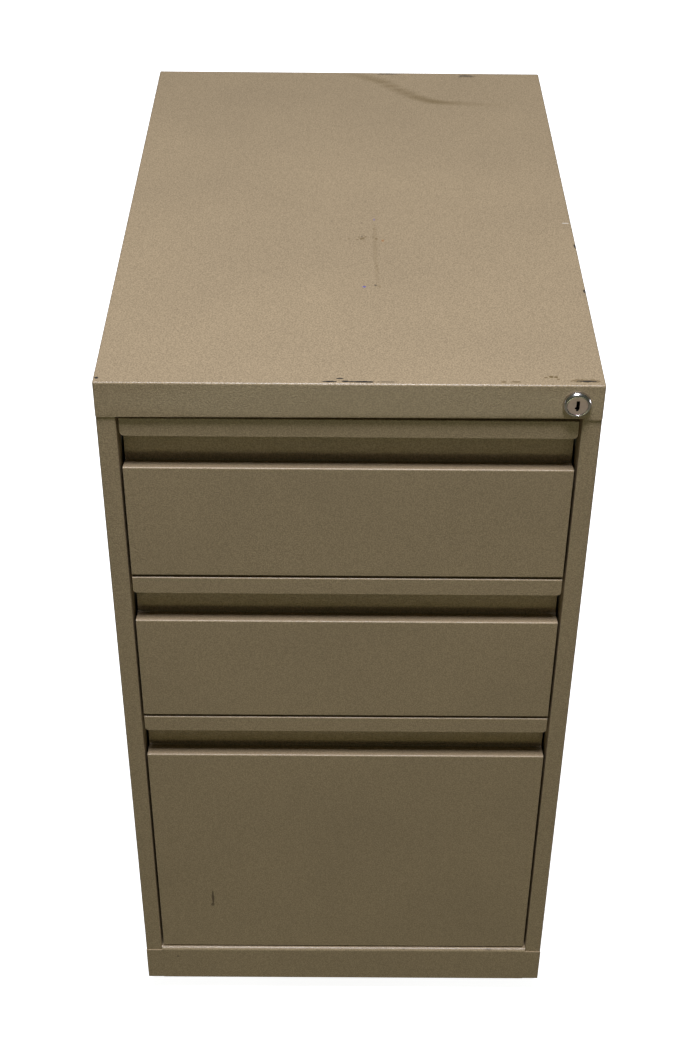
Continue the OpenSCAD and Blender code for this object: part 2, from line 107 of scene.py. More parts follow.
def new_material(name):
    """Starts a material; gives it, its node tree, its shader and the piece's own coordinates."""
    material = bpy.data.materials.new(name)
    material.use_nodes = True
    tree = material.node_tree
    place = node(tree, "ShaderNodeTexCoord").outputs["Object"]
    return material, tree, tree.nodes["Principled BSDF"], place


FLOAT, VECTOR = "NodeSocketFloat", "NodeSocketVector"

# The pebbled grain: lumps for the bump, flecks for the colour, and slow cloudy patches.
grain, given, out = new_group(
    "Powder grain",
    [("Vector", VECTOR, None), ("Grains per metre", FLOAT, 700.0), ("Patches per metre", FLOAT, 7.0)],
    [("Height", FLOAT), ("Fleck", FLOAT), ("Patch", FLOAT)],
)
lumps = node(grain, "ShaderNodeTexNoise",
             {"Vector": given.outputs["Vector"], "Scale": given.outputs["Grains per metre"],
              "Detail": 1.0, "Roughness": 0.5})
fleck = node(grain, "ShaderNodeMapRange",
             {"Value": lumps.outputs["Fac"], "From Min": 0.36, "From Max": 0.64})
patch = node(grain, "ShaderNodeTexNoise",
             {"Vector": given.outputs["Vector"], "Scale": given.outputs["Patches per metre"],
              "Detail": 4.0, "Roughness": 0.55})
patch_mask = node(grain, "ShaderNodeMapRange",
                  {"Value": patch.outputs["Fac"], "From Min": 0.35, "From Max": 0.70})
grain.links.new(lumps.outputs["Fac"], out.inputs["Height"])
grain.links.new(fleck.outputs["Result"], out.inputs["Fleck"])
grain.links.new(patch_mask.outputs["Result"], out.inputs["Patch"])

# One mark: an ellipsoid in the piece's own coordinates whose outline is broken up by noise.
mark, given, out = new_group(
    "Mark",
    [("Vector", VECTOR, None), ("Centre", VECTOR, None), ("Half size", VECTOR, (0.01, 0.01, 0.01)),
     ("Ragged", FLOAT, 0.5), ("Breaks per metre", FLOAT, 500.0), ("Softness", FLOAT, 0.15)],
    [("Mask", FLOAT)],
)
offset = node(mark, "ShaderNodeVectorMath", {0: given.outputs["Vector"], 1: given.outputs["Centre"]},
              operation="SUBTRACT")
scaled = node(mark, "ShaderNodeVectorMath", {0: offset.outputs[0], 1: given.outputs["Half size"]},
              operation="DIVIDE")
reach = node(mark, "ShaderNodeVectorMath", {0: scaled.outputs[0]}, operation="LENGTH")
broken = node(mark, "ShaderNodeTexNoise",
              {"Vector": given.outputs["Vector"], "Scale": given.outputs["Breaks per metre"], "Detail": 3.0})
centred = node(mark, "ShaderNodeMath", {0: broken.outputs["Fac"], 1: 0.5}, operation="SUBTRACT")
shift = node(mark, "ShaderNodeMath", {0: centred.outputs[0], 1: given.outputs["Ragged"]}, operation="MULTIPLY")
edge = node(mark, "ShaderNodeMath", {0: reach.outputs["Value"], 1: shift.outputs[0]}, operation="ADD")
inner = node(mark, "ShaderNodeMath", {0: 1.0, 1: given.outputs["Softness"]}, operation="SUBTRACT")
mask = node(mark, "ShaderNodeMapRange",
            {"Value": edge.outputs[0], "From Min": inner.outputs[0], "From Max": 1.0,
             "To Min": 1.0, "To Max": 0.0}, interpolation_type="SMOOTHSTEP")
mark.links.new(mask.outputs["Result"], out.inputs["Mask"])


def powder_coat(name, marks=()):
    """The tan powder coat. A mark is its colour, strength, centre, half size, raggedness, breaks per metre
    and softness."""
    material, tree, shader, place = new_material(name)
    pebble = use_group(tree, grain, {"Vector": place, "Grains per metre": GRAINS_PER_METRE})
    colour = mixed(tree, "RGBA", pebble.outputs["Fleck"], TAN_FLECK, TAN)
    cloud = node(tree, "ShaderNodeMapRange", {"Value": pebble.outputs["Patch"], "To Min": 0.0, "To Max": 0.10})
    colour = mixed(tree, "RGBA", cloud.outputs["Result"], colour, GRIME)
    rough = node(tree, "ShaderNodeMapRange",
                 {"Value": pebble.outputs["Fleck"], "To Min": 0.44, "To Max": 0.32}).outputs["Result"]
    for ink, strength, centre, half, ragged, breaks, softness in marks:
        spot = use_group(tree, mark, {"Vector": place, "Centre": centre, "Half size": half,
                                      "Ragged": ragged, "Breaks per metre": breaks, "Softness": softness})
        weight = node(tree, "ShaderNodeMath", {0: spot.outputs["Mask"], 1: strength}, operation="MULTIPLY")
        colour = mixed(tree, "RGBA", weight.outputs[0], colour, ink)
    tree.links.new(colour, shader.inputs["Base Color"])
    tree.links.new(rough, shader.inputs["Roughness"])
    shader.inputs["Coat Weight"].default_value = 0.08
    shader.inputs["Coat Roughness"].default_value = 0.20
    pebbled = node(tree, "ShaderNodeBump", {"Height": pebble.outputs["Height"], "Strength": 1.0,
                                            "Distance": GRAIN_HEIGHT})
    tree.links.new(pebbled.outputs["Normal"], shader.inputs["Normal"])
    return material


plain_paint = powder_coat("tan_powder_coat")


# ---------------------------------------------------------------------------------------------------
# Base pan and caster channels. The pan is one sheet with a flange folded down each side; two hat
# channels of heavier steel are welded across under it and carry the casters.

SHEET = 1.0 * MM
HEAVY_SHEET = 1.5 * MM
PAN_R = 1.8 * MM
CHANNEL_R = 2.2 * MM


def fold(bm, path, axis, start, end, radii=None, rounds=6):
    """Adds one face of a folded sheet to bm: corners (u, v) run along an axis, with a radius per fold.
    The face looks to the left of the path, and the sheet's thickness will lie to its right."""
    def at(run, u, v):
        return Vector({"x": (run, u, v), "y": (u, run, v), "z": (u, v, run)}[axis])

    corners = [bm.verts.new(at(start, u, v)) for u, v in path]
    edges = [bm.edges.new(pair) for pair in zip(corners, corners[1:])]
    grown = bmesh.ops.extrude_edge_only(bm, edges=edges)["geom"]
    far = [g for g in grown if isinstance(g, bmesh.types.BMVert)]
    bmesh.ops.translate(bm, verts=far, vec=at(end - start, 0, 0))
    faces = [g for g in grown if isinstance(g, bmesh.types.BMFace)]
    bm.normal_update()
    (u0, v0), (u1, v1) = path[:2]
    if edges[0].link_faces[0].normal.dot(at(0, v0 - v1, u1 - u0)) < 0:
        bmesh.ops.reverse_faces(bm, faces=faces)
    run = at(1, 0, 0)
    for i, radius in enumerate(radii or [], start=1):
        if not radius:
            continue
        before = (Vector(path[i]) - Vector(path[i - 1])).normalized()
        after = (Vector(path[i + 1]) - Vector(path[i])).normalized()
        reach = radius * math.tan(before.angle(after) / 2)
        crease = [e for e in corners[i].link_edges
                  if abs((e.verts[0].co - e.verts[1].co).normalized().dot(run)) > 0.99]
        bmesh.ops.bevel(bm, geom=crease, offset=reach, offset_type="OFFSET", affect="EDGES",
                        segments=rounds, profile=0.5, material=-1, clamp_overlap=False)


def placed(name, bm, material):
    """Turns a bmesh into a smooth-shaded piece and puts it in the scene."""
    mesh = bpy.data.meshes.new(name)
    bm.to_mesh(mesh)
    bm.free()
    mesh.shade_smooth()
    mesh.materials.append(material)
    made = bpy.data.objects.new(name, mesh)
    bpy.context.collection.objects.link(made)
    return made


def ease_edges(made, width, angle):
    """Rounds a piece's sharper edges by a hair's breadth."""
    ease = made.modifiers.new("Eased edges", "BEVEL")
    ease.width = width
    ease.segments = 2
    ease.limit_method = "ANGLE"
    ease.angle_limit = math.radians(angle)


def sheet_piece(name, bm, thickness, material, edge=0.2 * MM):
    """Makes a piece from the outer face of a sheet: gives it its thickness and eases its cut edges."""
    made = placed(name, bm, material)
    wall = made.modifiers.new("Thickness", "SOLIDIFY")
    wall.thickness = thickness
    wall.offset = -1.0
    wall.use_even_offset = True
    ease_edges(made, edge, 50)
    made.modifiers.new("Flat faces", "WEIGHTED_NORMAL")
    return made


low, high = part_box("base_pan")
bm = bmesh.new()
fold(bm, [(low.x, low.z), (low.x, high.z), (high.x, high.z), (high.x, low.z)], "y", low.y, high.y,
     [PAN_R] * 2)
base_pan = sheet_piece("base_pan_sheet", bm, SHEET, plain_paint)
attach(base_pan, "case")
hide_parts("base_pan")


def galvanised(name, colour, roughness, line_depth=0.06):
    """Zinc-plated or mill steel: cloudy roughness and faint drawn lines along the strip."""
    material, tree, shader, place = new_material(name)
    shader.inputs["Metallic"].default_value = 1.0
    along = node(tree, "ShaderNodeMapping", {"Vector": place, "Scale": (900.0, 30.0, 900.0)})
    drawn = node(tree, "ShaderNodeTexNoise", {"Vector": along.outputs["Vector"], "Scale": 1.0, "Detail": 2.0})
    cloud = node(tree, "ShaderNodeTexNoise", {"Vector": place, "Scale": 55.0, "Detail": 5.0})
    dull = [0.72 * c for c in colour[:3]] + [1.0]
    tree.links.new(mixed(tree, "RGBA", cloud.outputs["Fac"], dull, colour), shader.inputs["Base Color"])
    spread = node(tree, "ShaderNodeMapRange", {"Value": cloud.outputs["Fac"], "To Min": roughness + 0.12,
                                               "To Max": roughness - 0.06})
    tree.links.new(spread.outputs["Result"], shader.inputs["Roughness"])
    lines = node(tree, "ShaderNodeBump", {"Height": drawn.outputs["Fac"], "Strength": line_depth,
                                          "Distance": 0.1 * MM})
    tree.links.new(lines.outputs["Normal"], shader.inputs["Normal"])
    return material


mill_steel = galvanised("mill_steel", (0.42, 0.42, 0.43, 1.0), 0.42)
zinc_plate = galvanised("bright_zinc", (0.66, 0.67, 0.68, 1.0), 0.30)

for end in ("front", "rear"):
    low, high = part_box(f"{end}_caster_channel")
    bm = bmesh.new()
    fold(bm, [(high.y, high.z), (high.y, low.z), (low.y, low.z), (low.y, high.z)], "x", low.x, high.x,
         [CHANNEL_R] * 2)
    channel = sheet_piece(f"{end}_caster_channel_sheet", bm, HEAVY_SHEET, mill_steel)
    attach(channel, "case")
    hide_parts(f"{end}_caster_channel")


# ---------------------------------------------------------------------------------------------------
# Counterweight: a flame-cut plate in black primer, plug-welded under the pan towards the back, so that
# the cabinet doesn't tip when the file drawer is out.

def finished(name, bm, material, width, angle):
    """Makes a piece from a closed bmesh; with a width above nothing, its edges are eased."""
    made = placed(name, bm, material)
    if width:
        ease_edges(made, width, angle)
    made.modifiers.new("Flat faces", "WEIGHTED_NORMAL")
    return made


def eased_copy(name, cad_node, material, width, angle=30):
    """A piece with a CAD node's shape, as whole faces with their edges eased."""
    bm = bmesh.new()
    bm.from_mesh(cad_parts[cad_node].data)
    bmesh.ops.remove_doubles(bm, verts=bm.verts, dist=0.002 * MM)
    bmesh.ops.dissolve_limit(bm, angle_limit=math.radians(1), verts=bm.verts, edges=bm.edges)
    return finished(name, bm, material, width, angle)


def cast_primer(name, colour, roughness, lumps, depth):
    """Primer or moulded nylon: a lumpy surface with a rubbed, uneven sheen."""
    material, tree, shader, place = new_material(name)
    texture = use_group(tree, grain, {"Vector": place, "Grains per metre": lumps, "Patches per metre": 25.0})
    worn = [min(1.0, 1.9 * c) for c in colour[:3]] + [1.0]
    rubbed = node(tree, "ShaderNodeMapRange", {"Value": texture.outputs["Patch"], "To Max": 0.7})
    tree.links.new(mixed(tree, "RGBA", rubbed.outputs["Result"], colour, worn), shader.inputs["Base Color"])
    sheen = node(tree, "ShaderNodeMapRange", {"Value": texture.outputs["Fleck"], "To Min": roughness + 0.08,
                                              "To Max": roughness - 0.08})
    tree.links.new(sheen.outputs["Result"], shader.inputs["Roughness"])
    rough = node(tree, "ShaderNodeBump", {"Height": texture.outputs["Height"], "Strength": 0.5,
                                          "Distance": depth})
    tree.links.new(rough.outputs["Normal"], shader.inputs["Normal"])
    return material


weight = eased_copy("counterweight_plate", "counterweight", cast_primer(
    "black_primer", (0.018, 0.018, 0.020, 1.0), 0.6, 350.0, 0.6 * MM), 1.2 * MM)
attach(weight, "case")
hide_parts("counterweight")


# ---------------------------------------------------------------------------------------------------
# Casters. Each has a zinc-plated stem through its channel, held by a nut; a moulded nylon housing that
# swivels on the stem, with a hood; a pressed-in axle; and two hard wheels that run on it separately.

WHEEL_R = 25 * MM
WHEEL_W = 13 * MM
AXLE_R = 3 * MM
AXLE_END = 0.6 * MM

black_nylon = cast_primer("moulded_black_nylon", (0.012, 0.012, 0.013, 1.0), 0.44, 1500.0, 0.15 * MM)
wheel_nylon = cast_primer("worn_wheel_nylon", (0.016, 0.016, 0.017, 1.0), 0.34, 700.0, 0.12 * MM)
TOWARDS = {"+x": Matrix.Rotation(math.pi / 2, 4, "Y"), "-x": Matrix.Rotation(-math.pi / 2, 4, "Y"),
           "-y": Matrix.Rotation(math.pi / 2, 4, "X"), "+z": Matrix()}


def turned(name, profile, centre, towards, material, steps=96, edge=0.0):
    """A lathe-turned piece: (along, radius) points, closed on themselves, turned about an axis."""
    bm = bmesh.new()
    points = [bm.verts.new((radius, 0, along)) for along, radius in profile]
    edges = [bm.edges.new(pair) for pair in zip(points, points[1:] + points[:1])]
    bmesh.ops.spin(bm, geom=points + edges, cent=(0, 0, 0), axis=(0, 0, 1), dvec=(0, 0, 0),
                   angle=2 * math.pi, steps=steps, use_merge=True, use_duplicate=False)
    bmesh.ops.remove_doubles(bm, verts=bm.verts, dist=0.001 * MM)
    bmesh.ops.recalc_face_normals(bm, faces=bm.faces)
    bmesh.ops.transform(bm, matrix=Matrix.Translation(centre) @ TOWARDS[towards], verts=bm.verts)
    return finished(name, bm, material, edge, 35)


stems = eased_copy("caster_stem_shafts", "caster_stems", zinc_plate, 0.4 * MM)
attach(stems, "case")
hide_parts("caster_stems")
stem_nuts = eased_copy("caster_stem_nuts", "caster_nuts", zinc_plate, 0.4 * MM)
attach(stem_nuts, "case")
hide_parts("caster_nuts")

# A wheel from its inner face outwards: flat face, crowned tread, dished outer face and a raised hub ring.
bore = AXLE_R + 0.05 * MM
wheel_profile = [
    (0, bore), (0, WHEEL_R - 1.8 * MM), (0.5 * MM, WHEEL_R - 0.7 * MM), (1.6 * MM, WHEEL_R),
    (9.4 * MM, WHEEL_R), (11.2 * MM, WHEEL_R - 0.5 * MM), (12.3 * MM, WHEEL_R - 1.5 * MM),
    (12.8 * MM, WHEEL_R - 3.0 * MM), (12.4 * MM, WHEEL_R - 4.2 * MM), (11.0 * MM, WHEEL_R - 5.2 * MM),
    (10.6 * MM, WHEEL_R - 6.5 * MM), (11.2 * MM, 11.0 * MM), (12.4 * MM, 9.8 * MM), (WHEEL_W, 9.0 * MM),
    (WHEEL_W, 5.6 * MM), (12.2 * MM, 4.8 * MM), (10.4 * MM, 4.6 * MM), (10.2 * MM, bore),
]
for corner in ("front_left", "front_right", "rear_left", "rear_right"):
    housing = eased_copy(f"{corner}_caster_housing", f"{corner}_housing", black_nylon, 0.6 * MM)
    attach(housing, f"{corner}_caster")
    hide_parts(f"{corner}_housing")
    low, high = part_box(f"{corner}_axle")
    half = (high.x - low.x) / 2
    pin = turned(f"{corner}_axle_pin", [
        (-half, 0), (-half, AXLE_R - AXLE_END), (AXLE_END - half, AXLE_R), (half - AXLE_END, AXLE_R),
        (half, AXLE_R - AXLE_END), (half, 0)], (low + high) / 2, "+x", zinc_plate, 32)
    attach(pin, f"{corner}_caster")
    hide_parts(f"{corner}_axle")
    for part in ("outer", "inner"):
        wheel_low, wheel_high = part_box(f"{corner}_{part}_wheel")
        right = wheel_low.x > (low.x + high.x) / 2
        face = Vector((wheel_low.x if right else wheel_high.x, (low.y + high.y) / 2, (low.z + high.z) / 2))
        wheel = turned(f"{corner}_{part}_caster_wheel", wheel_profile, face, "+x" if right else "-x",
                       wheel_nylon)
        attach(wheel, f"{corner}_{part}_wheel_body")
        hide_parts(f"{corner}_{part}_wheel")


# ---------------------------------------------------------------------------------------------------
# Side panels: each is one sheet, folded round the front into a post with an inner return, and round the
# back into a return that holds the back panel, spot-welded in a row; the weld dimples are painted shade,
# darker spots in the coat. A narrow strip set in by a sheet's thickness laps up under the cap.

POST_W = 15 * MM
POST_RETURN = 20 * MM
PANEL_R = 1.8 * MM
POST_FOLD_R = 1.0 * MM
WELD_PITCH = 78 * MM
WELD_R = 3.2 * MM
# Painted shade: the colour of the darker spots that stand for the weld dimples.
WELD_DIMPLE_PAINTED_SHADE = (0.150, 0.108, 0.064, 1.0)
JOGGLE_H = 9.9 * MM
JOGGLE_FRONT = 2.0 * MM
JOGGLE_BACK = 2.2 * MM


def refill(bm, face, outlines):
    """Replaces a flat face by triangles that leave the closed outlines (lists of edges) open."""
    normal = face.normal.copy()
    border = set(face.edges)
    bmesh.ops.delete(bm, geom=[face], context="FACES_ONLY")
    filled = bmesh.ops.triangle_fill(bm, use_beauty=True, use_dissolve=False, normal=normal,
                                     edges=list(border.union(*outlines)))
    bm.normal_update()
    bmesh.ops.reverse_faces(bm, faces=[f for f in filled["geom"] if isinstance(f, bmesh.types.BMFace)
                                       and f.normal.dot(normal) < 0])


def circle(bm, radius, centre, towards, segments):
    """Adds a bare circle to bm and gives its verts."""
    return bmesh.ops.create_circle(bm, cap_ends=False, segments=segments, radius=radius,
                                   matrix=Matrix.Translation(centre) @ TOWARDS[towards])["verts"]


for side, sign in (("left", -1), ("right", 1)):
    low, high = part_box(f"{side}_side_panel")
    out_x = max(-low.x, high.x)
    post_x = out_x - POST_W
    back_x = min(abs(low.x), abs(high.x))
    plan = [(back_x, high.y), (out_x, high.y), (out_x, low.y), (post_x, low.y), (post_x, low.y + POST_RETURN)]
    radii = [PANEL_R, PANEL_R, POST_FOLD_R]
    if sign < 0:
        plan = [(-x, y) for x, y in reversed(plan)]
        radii.reverse()
    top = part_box("top_cap")[0].z - 0.1 * MM
    bm = bmesh.new()
    fold(bm, plan, "z", low.z, top, radii)
    weld_x = sign * (out_x + back_x) / 2
    welds = int((top - low.z) / WELD_PITCH)
    first = (low.z + top - (welds - 1) * WELD_PITCH) / 2
    # Painted shade: one darker tan spot per spot weld, standing for the shadow in each weld's dimple.
    weld_dimple_painted_shade = [(WELD_DIMPLE_PAINTED_SHADE, 0.55, (weld_x, high.y, first + i * WELD_PITCH), (WELD_R, 2 * MM, WELD_R),
                   0.3, 300.0, 0.35) for i in range(welds)]
    weld_shaded_paint = powder_coat(f"tan_powder_coat_{side}_side", weld_dimple_painted_shade)
    panel = sheet_piece(f"{side}_side_sheet", bm, SHEET, weld_shaded_paint)
    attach(panel, "case")
    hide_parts(f"{side}_side_panel")
    strip_x = out_x - SHEET
    run = [(strip_x, high.y - JOGGLE_BACK), (strip_x, low.y + JOGGLE_FRONT)]
    if sign < 0:
        run = [(-x, y) for x, y in reversed(run)]
    bm = bmesh.new()
    fold(bm, run, "z", top - JOGGLE_H, high.z)
    strip = sheet_piece(f"{side}_side_joggle", bm, SHEET, plain_paint)
    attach(strip, "case")
    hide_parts(f"{side}_side_panel")


# ---------------------------------------------------------------------------------------------------
# Back panel: one plain flat sheet of the same coated steel behind the cap, held between the rear returns
# of the side panels by their spot welds.

low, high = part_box("back_panel")
bm = bmesh.new()
fold(bm, [(low.x, high.y), (high.x, high.y)], "z", low.z, high.z)
back = sheet_piece("back_sheet", bm, SHEET, plain_paint)
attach(back, "case")
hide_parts("back_panel")


# ---------------------------------------------------------------------------------------------------
# Base rail: a folded sheet across the front of the base. Its face laps over the two posts; its ledge
# and bottom return stop between them.

RAIL_TOP_R = 2.95 * MM
RAIL_FOOT_R = 1.3 * MM
RAIL_HOOK_R = 1.2 * MM
RAIL_RETURN = 12 * MM
RAIL_HOOK = 3.8 * MM
RAIL_LAP_H = 40.8 * MM
UPRIGHT_DEEP = 14.0 * MM
NEAR = 0.01 * MM
SCUFF = (0.120, 0.080, 0.045, 1.0)

low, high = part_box("base_rail")
rail_marks = [
    (SCUFF, 0.60, (58 * MM, low.y, high.z), (2.2 * MM, 2.6 * MM, 2.0 * MM), 1.2, 300.0, 0.3),
    (SCUFF, 0.60, (140 * MM, low.y, high.z), (4.6 * MM, 2.6 * MM, 2.0 * MM), 1.4, 300.0, 0.3),
    (SCUFF, 0.80, (-160.5 * MM, low.y, low.z + 32 * MM), (1.4 * MM, 2.0 * MM, 1.4 * MM), 0.6, 400.0, 0.3),
]
post_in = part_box("front_uprights")[1].x - UPRIGHT_DEEP
top_edge = low.z + RAIL_LAP_H
bm = bmesh.new()
fold(bm, [(low.y + RAIL_RETURN, low.z), (low.y, low.z), (low.y, high.z), (high.y, high.z),
          (high.y, high.z - RAIL_HOOK)], "x", low.x, high.x, [RAIL_FOOT_R, RAIL_TOP_R, RAIL_HOOK_R])
for x in (-post_in, post_in):
    bmesh.ops.bisect_plane(bm, geom=bm.verts[:] + bm.edges[:] + bm.faces[:], dist=0.0001 * MM,
                           plane_co=(x, 0, 0), plane_no=(1, 0, 0))
bmesh.ops.bisect_plane(bm, geom=bm.verts[:] + bm.edges[:] + bm.faces[:], dist=0.0001 * MM,
                       plane_co=(0, 0, top_edge), plane_no=(0, 0, 1))
beyond = [f for f in bm.faces if abs(f.calc_center_median().x) > post_in
          and (f.calc_center_median().z > top_edge or f.calc_center_median().y > low.y + NEAR)]
bmesh.ops.delete(bm, geom=beyond, context="FACES")
rail = sheet_piece("base_rail_sheet", bm, SHEET, powder_coat("tan_powder_coat_scuffed_rail", rail_marks))
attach(rail, "case")
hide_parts("base_rail")


# ---------------------------------------------------------------------------------------------------
# Uprights: four mill-finish channels standing on the pan inside the side panels, two at each side, for
# the runners' screws.

UPRIGHT_R = 1.6 * MM

for end in ("front", "rear"):
    low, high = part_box(f"{end}_uprights")
    web = post_in + 0.1 * MM
    for side, sign in (("left", -1), ("right", 1)):
        plan = [(high.x, low.y), (web, low.y), (web, high.y), (high.x, high.y)]
        if sign < 0:
            plan = [(-x, y) for x, y in reversed(plan)]
        bm = bmesh.new()
        fold(bm, plan, "z", low.z, high.z, [UPRIGHT_R] * 2)
        upright = sheet_piece(f"{end}_{side}_upright", bm, SHEET, mill_steel)
        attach(upright, "case")
        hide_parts(f"{end}_uprights")


# ---------------------------------------------------------------------------------------------------
# Runners: roll-formed, zinc-plated channels. The cabinet members are screwed to the uprights and the
# drawer members are welded to the drawers; the file drawer has a middle member between them.

RUNNER_T = 1.2 * MM
CAGE_T = 0.8 * MM
RUNNER_R = 1.3 * MM
CAGE_R = 0.9 * MM
CABINET_DEEP = 10.1 * MM
MIDDLE_DEEP = 7.8 * MM
DRAWER_DEEP = {"top": 9.2 * MM, "middle": 9.2 * MM, "file": 6.4 * MM}
BALLS = 8


def channel_pair(name, low, high, reach, thickness, opens, material, radius):
    """Two handed channels along Y between the given heights, webs at high.x or low.x, for both sides."""
    web, tip = reach
    plan = [(tip, high.z), (web, high.z), (web, low.z), (tip, low.z)]
    if opens == "out":
        plan = list(reversed(plan))
    bm = bmesh.new()
    fold(bm, plan, "y", low.y, high.y, [radius] * 2)
    fold(bm, [(-x, z) for x, z in reversed(plan)], "y", low.y, high.y, [radius] * 2)
    return sheet_piece(name, bm, thickness, material, edge=0.12 * MM)


bright_ball = galvanised("polished_ball_steel", (0.60, 0.60, 0.61, 1.0), 0.16, 0.0)
cage_steel = galvanised("pressed_cage_steel", (0.50, 0.50, 0.50, 1.0), 0.34)
for tier in ("top", "middle", "file"):
    low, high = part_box(f"{tier}_cabinet_runners")
    member = channel_pair(f"{tier}_cabinet_channels", low, high, (high.x, high.x - CABINET_DEEP), RUNNER_T,
                          "in", zinc_plate, RUNNER_R)
    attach(member, "case")
    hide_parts(f"{tier}_cabinet_runners")
    low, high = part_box(f"{tier}_drawer_runners")
    member = channel_pair(f"{tier}_drawer_channels", low, high, (high.x - DRAWER_DEEP[tier], high.x), RUNNER_T,
                          "out", zinc_plate, RUNNER_R)
    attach(member, f"{tier}_drawer")
    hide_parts(f"{tier}_drawer_runners")

low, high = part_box("file_middle_runners")
member = channel_pair("file_middle_channels", low, high, (high.x, high.x - MIDDLE_DEEP), RUNNER_T, "in",
                      zinc_plate, RUNNER_R)
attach(member, "file_middle_members")
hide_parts("file_middle_runners")

# Each cage: its body, its depth from web to tip, how far its ball rows lie above and below the middle,
# how far the balls lie in from the web, and a ball's radius, in millimetres.
CAGES = [
    ("top_runner_cages", "top_cages", 6.5, 19.1, 4.0, 1.9),
    ("middle_runner_cages", "middle_cages", 6.5, 19.1, 4.0, 1.9),
    ("file_outer_cages", "file_outer_cage_pair", 6.55, 19.6, 4.05, 1.4),
    ("file_inner_cages", "file_inner_cage_pair", 5.4, 15.0, 3.5, 1.4),
]
for cage, body, deep, row, inward, ball_r in CAGES:
    low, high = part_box(cage)
    middle = (low.z + high.z) / 2
    half = (row + 0.4) * MM
    low.z, high.z = middle - half, middle + half
    strip = channel_pair(f"{cage}_strip", low, high, (high.x, high.x - deep * MM), CAGE_T, "in", cage_steel,
                         CAGE_R)
    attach(strip, body)
    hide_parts(cage)
    bm = bmesh.new()
    for i in range(BALLS):
        y = low.y + (i + 0.5) * (high.y - low.y) / BALLS
        for x in (high.x - inward * MM, inward * MM - high.x):
            for z in (middle - row * MM, middle + row * MM):
                bmesh.ops.create_uvsphere(bm, u_segments=16, v_segments=10, radius=ball_r * MM,
                                          matrix=Matrix.Translation((x, y, z)))
    balls = placed(f"{cage}_balls", bm, bright_ball)
    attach(balls, body)
    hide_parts(cage)

screws = eased_copy("runner_screw_set", "runner_screws", zinc_plate, 0.25 * MM)
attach(screws, "case")
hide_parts("runner_screws")


# ---------------------------------------------------------------------------------------------------
# Top cap: a shallow inverted tray of the same sheet, closed at the corners, that fits down over the
# sides. Its front skirt is the apron that carries the lock; the edges are worn and chipped.

CAP_R = 1.5 * MM
LIP_R = 2.1 * MM
CAP_LIP = 12 * MM
LOCK_HOLE_R = 9.6 * MM
TOP_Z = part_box("top_cap")[1].z
FRONT_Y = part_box("top_cap")[0].y


def on_top(x, behind_front, half_x, half_y, strength, ink=GRIME, ragged=1.2, breaks=120.0, softness=0.6):
    """A mark on the top, placed by its distance behind the front of the apron, all in millimetres."""
    return (ink, strength, (x * MM, FRONT_Y + behind_front * MM, TOP_Z), (half_x * MM, half_y * MM, 4 * MM),
            ragged, breaks, softness)


# Painted light: a faint lighter tan over the apron and the front edge stands in for the apron being lit more
# brightly than the drawer fronts below.
APRON_PAINTED_LIGHT = (0.60, 0.50, 0.34, 1.0)
STAIN = (0.150, 0.100, 0.040, 1.0)
RUST = (0.330, 0.130, 0.030, 1.0)
BALLPOINT = (0.050, 0.050, 0.420, 1.0)
RUBBED = (0.720, 0.660, 0.560, 1.0)
# The first mark is that painted light on the apron; the rest are painted shade along a crease, real stains,
# specks and chips.
cap_wear_and_painted_light = [(APRON_PAINTED_LIGHT, 0.17, (0.02, FRONT_Y, TOP_Z - 16 * MM), (0.26, 4 * MM, 22 * MM), 0.3, 30.0, 0.5)]
# Painted shade: a dark line in the stain colour stands for the shadow in a shallow crease that curves across
# the back right corner: (across, behind the front, strength) along it.
PAINTED_CREASE_SHADE = [(-2, 579, 0.10), (16, 569, 0.34), (33, 557, 0.48), (49, 538, 0.50), (64, 522, 0.50), (78, 512, 0.46),
          (91, 508, 0.36), (108, 507, 0.22), (131, 504, 0.13), (160, 502, 0.06)]
for (x0, y0, here), (x1, y1, there) in zip(PAINTED_CREASE_SHADE, PAINTED_CREASE_SHADE[1:]):
    for part in (0.0, 0.5):
        cap_wear_and_painted_light.append(on_top(x0 + (x1 - x0) * part, y0 + (y1 - y0) * part, 15, 8,
                                here + (there - here) * part, STAIN, 0.0, 40.0, 1.0))
